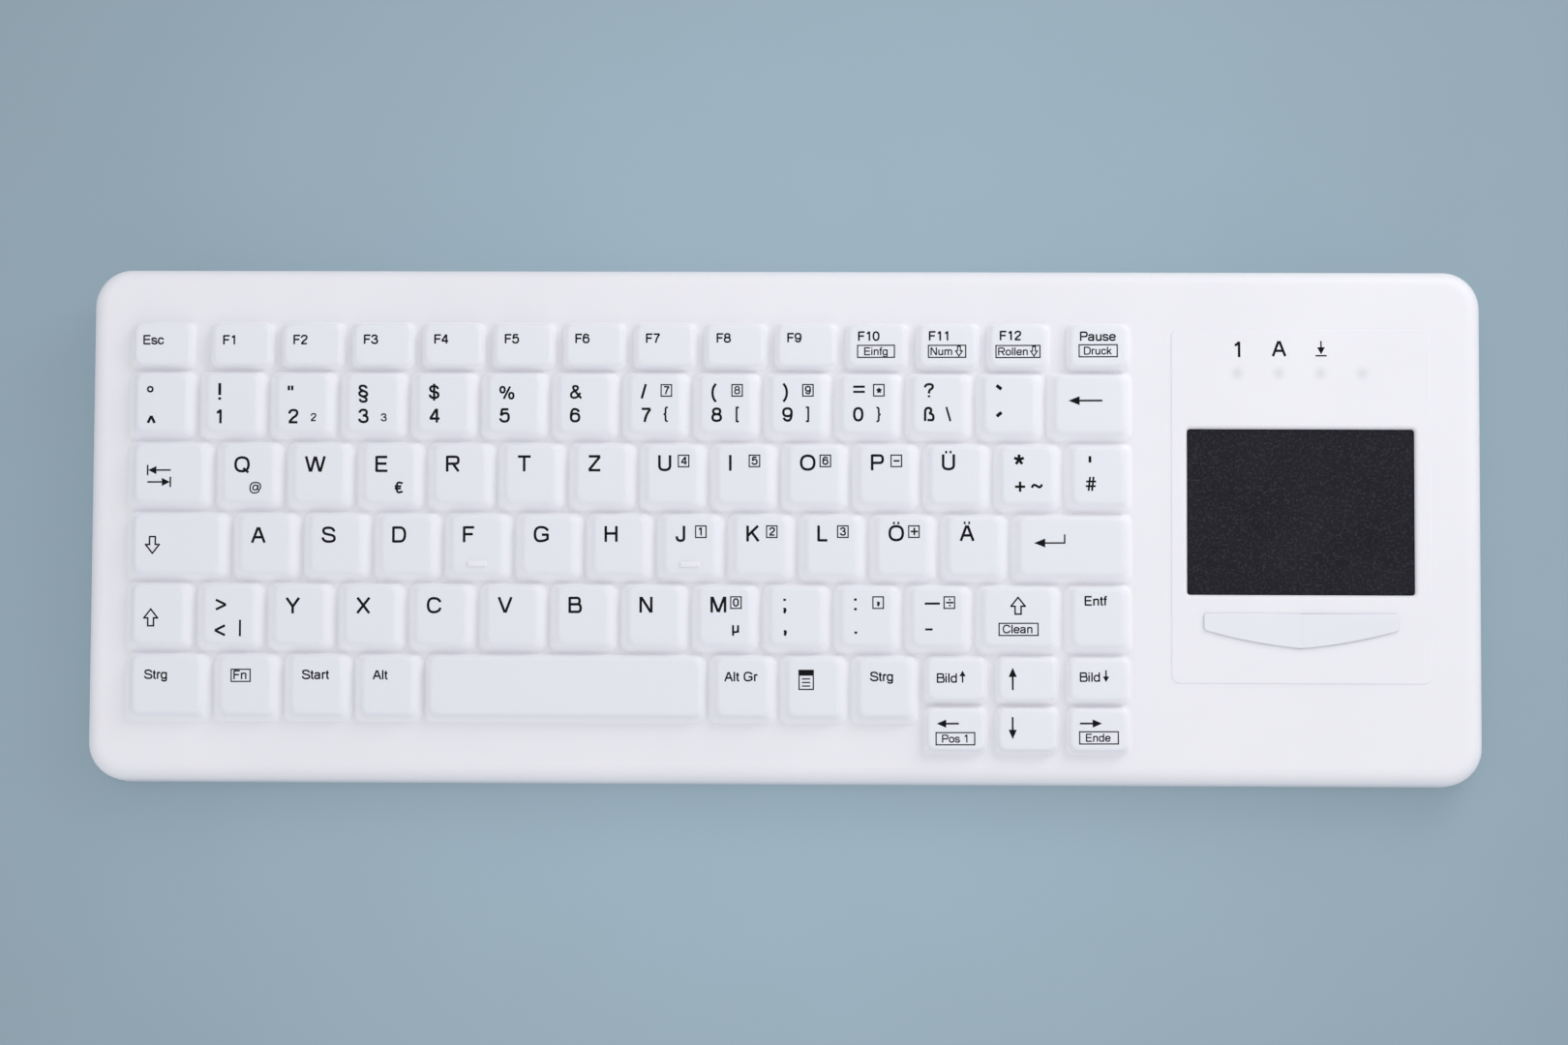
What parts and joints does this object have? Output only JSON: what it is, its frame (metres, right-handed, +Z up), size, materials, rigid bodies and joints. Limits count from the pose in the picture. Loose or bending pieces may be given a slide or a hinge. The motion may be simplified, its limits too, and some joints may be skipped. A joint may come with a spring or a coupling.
{
  "type": "sealed compact keyboard with touchpad",
  "caption": "White wipe-clean computer keyboard: low keys moulded in one silicone skin, with a dark touchpad, two pad buttons and status lights at the right.",
  "frame": {"origin": "on the desk under the middle of the case's outline", "axes": "+X to the right along the case, +Y to the rear, +Z up; the deck rises 4 degrees to the rear"},
  "size_m": [0.375, 0.138, 0.0264],
  "materials": {
    "silicone": "satin white moulded silicone with a fine matt skin",
    "case_plastic": "fine-textured white ABS",
    "guide_plastic": "dark moulded plastic",
    "dome_rubber": "milky silicone rubber",
    "circuit_foil": "clear polyester with printed tracks",
    "plated_steel": "zinc-plated steel",
    "circuit_board": "green solder mask",
    "chip_plastic": "black moulded resin",
    "led_resin": "pale cast resin",
    "clear_plastic": "clear moulded acrylic",
    "pad_foil": "dark blue-grey fine-grained touch foil",
    "ribbon_film": "white flat cable",
    "seal_rubber": "light grey sealing rubber",
    "foot_rubber": "dark grey anti-slip rubber",
    "cap_plastic": "light grey moulded keycap plastic"
  },
  "bodies": {
    "housing": {"board_components": "chip_plastic", "bottom_case": "case_plastic", "button_board": "circuit_board", "button_domes": "dome_rubber", "cable_gland": "seal_rubber", "case_screws": "plated_steel", "case_seal": "seal_rubber", "controller_board": "circuit_board", "key_guide_plate": "guide_plastic", "key_ribbon": "ribbon_film", "light_guides": "clear_plastic", "membrane_foils": "circuit_foil", "rubber_dome_sheet": "dome_rubber", "rubber_feet": "foot_rubber", "silicone_cover": "silicone", "status_leds": "led_resin", "steel_backplate": "plated_steel", "top_case": "case_plastic", "touchpad_board": "circuit_board", "touchpad_foil": "pad_foil", "touchpad_ribbon": "ribbon_film"},
    "key_alt": {"key_alt": "cap_plastic"},
    "key_alt_gr": {"key_alt_gr": "cap_plastic"},
    "key_arrow_down": {"key_arrow_down": "cap_plastic"},
    "key_arrow_left": {"key_arrow_left": "cap_plastic"},
    "key_arrow_right": {"key_arrow_right": "cap_plastic"},
    "key_arrow_up": {"key_arrow_up": "cap_plastic"},
    "key_backspace": {"key_backspace": "cap_plastic"},
    "key_caps": {"key_caps": "cap_plastic"},
    "key_delete": {"key_delete": "cap_plastic"},
    "key_enter": {"key_enter": "cap_plastic"},
    "key_esc": {"key_esc": "cap_plastic"},
    "key_fn": {"key_fn": "cap_plastic"},
    "key_left_control": {"key_left_control": "cap_plastic"},
    "key_left_shift": {"key_left_shift": "cap_plastic"},
    "key_menu": {"key_menu": "cap_plastic"},
    "key_page_down": {"key_page_down": "cap_plastic"},
    "key_page_up": {"key_page_up": "cap_plastic"},
    "key_pause": {"key_pause": "cap_plastic"},
    "key_right_control": {"key_right_control": "cap_plastic"},
    "key_right_shift": {"key_right_shift": "cap_plastic"},
    "key_space": {"key_space": "cap_plastic"},
    "key_start": {"key_start": "cap_plastic"},
    "key_tab": {"key_tab": "cap_plastic"},
    "keys_5_to_8": {"keys_5_to_8": "cap_plastic"},
    "keys_9_to_accent": {"keys_9_to_accent": "cap_plastic"},
    "keys_a_to_g": {"keys_a_to_g": "cap_plastic"},
    "keys_angle_to_v": {"keys_angle_to_v": "cap_plastic"},
    "keys_b_to_minus": {"keys_b_to_minus": "cap_plastic"},
    "keys_caret_to_4": {"keys_caret_to_4": "cap_plastic"},
    "keys_f1_to_f4": {"keys_f1_to_f4": "cap_plastic"},
    "keys_f5_to_f8": {"keys_f5_to_f8": "cap_plastic"},
    "keys_f9_to_f12": {"keys_f9_to_f12": "cap_plastic"},
    "keys_h_to_a_umlaut": {"keys_h_to_a_umlaut": "cap_plastic"},
    "keys_o_to_hash": {"keys_o_to_hash": "cap_plastic"},
    "keys_q_to_r": {"keys_q_to_r": "cap_plastic"},
    "keys_t_to_i": {"keys_t_to_i": "cap_plastic"},
    "touchpad_button_left": {"touchpad_button_left": "cap_plastic"},
    "touchpad_button_right": {"touchpad_button_right": "cap_plastic"},
    "space_stabilizer": {"space_stabilizer": "plated_steel"}
  },
  "joints": [
    {"name": "press_alt", "type": "slide", "parent": "housing", "child": "key_alt", "axis": [0, 0.0698, -0.9976], "range_m": [0, 0.0022], "stiffness_N_per_m": 180, "springref_m": -0.0012, "deforming": ["silicone_cover", "rubber_dome_sheet"]},
    {"name": "press_alt_gr", "type": "slide", "parent": "housing", "child": "key_alt_gr", "axis": [0, 0.0698, -0.9976], "range_m": [0, 0.0022], "stiffness_N_per_m": 180, "springref_m": -0.0012, "deforming": ["silicone_cover", "rubber_dome_sheet"]},
    {"name": "press_arrow_down", "type": "slide", "parent": "housing", "child": "key_arrow_down", "axis": [0, 0.0698, -0.9976], "range_m": [0, 0.0022], "stiffness_N_per_m": 180, "springref_m": -0.0012, "deforming": ["silicone_cover", "rubber_dome_sheet"]},
    {"name": "press_arrow_left", "type": "slide", "parent": "housing", "child": "key_arrow_left", "axis": [0, 0.0698, -0.9976], "range_m": [0, 0.0022], "stiffness_N_per_m": 180, "springref_m": -0.0012, "deforming": ["silicone_cover", "rubber_dome_sheet"]},
    {"name": "press_arrow_right", "type": "slide", "parent": "housing", "child": "key_arrow_right", "axis": [0, 0.0698, -0.9976], "range_m": [0, 0.0022], "stiffness_N_per_m": 180, "springref_m": -0.0012, "deforming": ["silicone_cover", "rubber_dome_sheet"]},
    {"name": "press_arrow_up", "type": "slide", "parent": "housing", "child": "key_arrow_up", "axis": [0, 0.0698, -0.9976], "range_m": [0, 0.0022], "stiffness_N_per_m": 180, "springref_m": -0.0012, "deforming": ["silicone_cover", "rubber_dome_sheet"]},
    {"name": "press_backspace", "type": "slide", "parent": "housing", "child": "key_backspace", "axis": [0, 0.0698, -0.9976], "range_m": [0, 0.0022], "stiffness_N_per_m": 180, "springref_m": -0.0012, "deforming": ["silicone_cover", "rubber_dome_sheet"]},
    {"name": "press_caps", "type": "slide", "parent": "housing", "child": "key_caps", "axis": [0, 0.0698, -0.9976], "range_m": [0, 0.0022], "stiffness_N_per_m": 180, "springref_m": -0.0012, "deforming": ["silicone_cover", "rubber_dome_sheet"]},
    {"name": "press_delete", "type": "slide", "parent": "housing", "child": "key_delete", "axis": [0, 0.0698, -0.9976], "range_m": [0, 0.0022], "stiffness_N_per_m": 180, "springref_m": -0.0012, "deforming": ["silicone_cover", "rubber_dome_sheet"]},
    {"name": "press_enter", "type": "slide", "parent": "housing", "child": "key_enter", "axis": [0, 0.0698, -0.9976], "range_m": [0, 0.0022], "stiffness_N_per_m": 180, "springref_m": -0.0012, "deforming": ["silicone_cover", "rubber_dome_sheet"]},
    {"name": "press_esc", "type": "slide", "parent": "housing", "child": "key_esc", "axis": [0, 0.0698, -0.9976], "range_m": [0, 0.0022], "stiffness_N_per_m": 180, "springref_m": -0.0012, "deforming": ["silicone_cover", "rubber_dome_sheet"]},
    {"name": "press_fn", "type": "slide", "parent": "housing", "child": "key_fn", "axis": [0, 0.0698, -0.9976], "range_m": [0, 0.0022], "stiffness_N_per_m": 180, "springref_m": -0.0012, "deforming": ["silicone_cover", "rubber_dome_sheet"]},
    {"name": "press_left_control", "type": "slide", "parent": "housing", "child": "key_left_control", "axis": [0, 0.0698, -0.9976], "range_m": [0, 0.0022], "stiffness_N_per_m": 180, "springref_m": -0.0012, "deforming": ["silicone_cover", "rubber_dome_sheet"]},
    {"name": "press_left_shift", "type": "slide", "parent": "housing", "child": "key_left_shift", "axis": [0, 0.0698, -0.9976], "range_m": [0, 0.0022], "stiffness_N_per_m": 180, "springref_m": -0.0012, "deforming": ["silicone_cover", "rubber_dome_sheet"]},
    {"name": "press_menu", "type": "slide", "parent": "housing", "child": "key_menu", "axis": [0, 0.0698, -0.9976], "range_m": [0, 0.0022], "stiffness_N_per_m": 180, "springref_m": -0.0012, "deforming": ["silicone_cover", "rubber_dome_sheet"]},
    {"name": "press_page_down", "type": "slide", "parent": "housing", "child": "key_page_down", "axis": [0, 0.0698, -0.9976], "range_m": [0, 0.0022], "stiffness_N_per_m": 180, "springref_m": -0.0012, "deforming": ["silicone_cover", "rubber_dome_sheet"]},
    {"name": "press_page_up", "type": "slide", "parent": "housing", "child": "key_page_up", "axis": [0, 0.0698, -0.9976], "range_m": [0, 0.0022], "stiffness_N_per_m": 180, "springref_m": -0.0012, "deforming": ["silicone_cover", "rubber_dome_sheet"]},
    {"name": "press_pause", "type": "slide", "parent": "housing", "child": "key_pause", "axis": [0, 0.0698, -0.9976], "range_m": [0, 0.0022], "stiffness_N_per_m": 180, "springref_m": -0.0012, "deforming": ["silicone_cover", "rubber_dome_sheet"]},
    {"name": "press_right_control", "type": "slide", "parent": "housing", "child": "key_right_control", "axis": [0, 0.0698, -0.9976], "range_m": [0, 0.0022], "stiffness_N_per_m": 180, "springref_m": -0.0012, "deforming": ["silicone_cover", "rubber_dome_sheet"]},
    {"name": "press_right_shift", "type": "slide", "parent": "housing", "child": "key_right_shift", "axis": [0, 0.0698, -0.9976], "range_m": [0, 0.0022], "stiffness_N_per_m": 180, "springref_m": -0.0012, "deforming": ["silicone_cover", "rubber_dome_sheet"]},
    {"name": "press_space", "type": "slide", "parent": "housing", "child": "key_space", "axis": [0, 0.0698, -0.9976], "range_m": [0, 0.0022], "stiffness_N_per_m": 180, "springref_m": -0.0012, "deforming": ["silicone_cover", "rubber_dome_sheet"]},
    {"name": "press_start", "type": "slide", "parent": "housing", "child": "key_start", "axis": [0, 0.0698, -0.9976], "range_m": [0, 0.0022], "stiffness_N_per_m": 180, "springref_m": -0.0012, "deforming": ["silicone_cover", "rubber_dome_sheet"]},
    {"name": "press_tab", "type": "slide", "parent": "housing", "child": "key_tab", "axis": [0, 0.0698, -0.9976], "range_m": [0, 0.0022], "stiffness_N_per_m": 180, "springref_m": -0.0012, "deforming": ["silicone_cover", "rubber_dome_sheet"]},
    {"name": "press_5_to_8", "type": "slide", "parent": "housing", "child": "keys_5_to_8", "axis": [0, 0.0698, -0.9976], "range_m": [0, 0.0022], "stiffness_N_per_m": 180, "springref_m": -0.0012, "deforming": ["silicone_cover", "rubber_dome_sheet"]},
    {"name": "press_9_to_accent", "type": "slide", "parent": "housing", "child": "keys_9_to_accent", "axis": [0, 0.0698, -0.9976], "range_m": [0, 0.0022], "stiffness_N_per_m": 180, "springref_m": -0.0012, "deforming": ["silicone_cover", "rubber_dome_sheet"]},
    {"name": "press_a_to_g", "type": "slide", "parent": "housing", "child": "keys_a_to_g", "axis": [0, 0.0698, -0.9976], "range_m": [0, 0.0022], "stiffness_N_per_m": 180, "springref_m": -0.0012, "deforming": ["silicone_cover", "rubber_dome_sheet"]},
    {"name": "press_angle_to_v", "type": "slide", "parent": "housing", "child": "keys_angle_to_v", "axis": [0, 0.0698, -0.9976], "range_m": [0, 0.0022], "stiffness_N_per_m": 180, "springref_m": -0.0012, "deforming": ["silicone_cover", "rubber_dome_sheet"]},
    {"name": "press_b_to_minus", "type": "slide", "parent": "housing", "child": "keys_b_to_minus", "axis": [0, 0.0698, -0.9976], "range_m": [0, 0.0022], "stiffness_N_per_m": 180, "springref_m": -0.0012, "deforming": ["silicone_cover", "rubber_dome_sheet"]},
    {"name": "press_caret_to_4", "type": "slide", "parent": "housing", "child": "keys_caret_to_4", "axis": [0, 0.0698, -0.9976], "range_m": [0, 0.0022], "stiffness_N_per_m": 180, "springref_m": -0.0012, "deforming": ["silicone_cover", "rubber_dome_sheet"]},
    {"name": "press_f1_to_f4", "type": "slide", "parent": "housing", "child": "keys_f1_to_f4", "axis": [0, 0.0698, -0.9976], "range_m": [0, 0.0022], "stiffness_N_per_m": 180, "springref_m": -0.0012, "deforming": ["silicone_cover", "rubber_dome_sheet"]},
    {"name": "press_f5_to_f8", "type": "slide", "parent": "housing", "child": "keys_f5_to_f8", "axis": [0, 0.0698, -0.9976], "range_m": [0, 0.0022], "stiffness_N_per_m": 180, "springref_m": -0.0012, "deforming": ["silicone_cover", "rubber_dome_sheet"]},
    {"name": "press_f9_to_f12", "type": "slide", "parent": "housing", "child": "keys_f9_to_f12", "axis": [0, 0.0698, -0.9976], "range_m": [0, 0.0022], "stiffness_N_per_m": 180, "springref_m": -0.0012, "deforming": ["silicone_cover", "rubber_dome_sheet"]},
    {"name": "press_h_to_a_umlaut", "type": "slide", "parent": "housing", "child": "keys_h_to_a_umlaut", "axis": [0, 0.0698, -0.9976], "range_m": [0, 0.0022], "stiffness_N_per_m": 180, "springref_m": -0.0012, "deforming": ["silicone_cover", "rubber_dome_sheet"]},
    {"name": "press_o_to_hash", "type": "slide", "parent": "housing", "child": "keys_o_to_hash", "axis": [0, 0.0698, -0.9976], "range_m": [0, 0.0022], "stiffness_N_per_m": 180, "springref_m": -0.0012, "deforming": ["silicone_cover", "rubber_dome_sheet"]},
    {"name": "press_q_to_r", "type": "slide", "parent": "housing", "child": "keys_q_to_r", "axis": [0, 0.0698, -0.9976], "range_m": [0, 0.0022], "stiffness_N_per_m": 180, "springref_m": -0.0012, "deforming": ["silicone_cover", "rubber_dome_sheet"]},
    {"name": "press_t_to_i", "type": "slide", "parent": "housing", "child": "keys_t_to_i", "axis": [0, 0.0698, -0.9976], "range_m": [0, 0.0022], "stiffness_N_per_m": 180, "springref_m": -0.0012, "deforming": ["silicone_cover", "rubber_dome_sheet"]},
    {"name": "press_touchpad_button_left", "type": "slide", "parent": "housing", "child": "touchpad_button_left", "axis": [0, 0.0698, -0.9976], "range_m": [0, 0.0005], "stiffness_N_per_m": 900, "springref_m": -0.0003, "deforming": ["silicone_cover", "button_domes"]},
    {"name": "press_touchpad_button_right", "type": "slide", "parent": "housing", "child": "touchpad_button_right", "axis": [0, 0.0698, -0.9976], "range_m": [0, 0.0005], "stiffness_N_per_m": 900, "springref_m": -0.0003, "deforming": ["silicone_cover", "button_domes"]},
    {"name": "stabilizer_tilt", "type": "hinge", "parent": "housing", "child": "space_stabilizer", "pos_m": [-0.05834, -0.03972, 0.01434], "axis": [1, 0, 0], "range_deg": [0, 14.2], "deforming": ["silicone_cover"]}
  ],
  "couplings": [
    {"joint": "stabilizer_tilt", "follows": "press_space", "rad_per_m": 112.25}
  ]
}
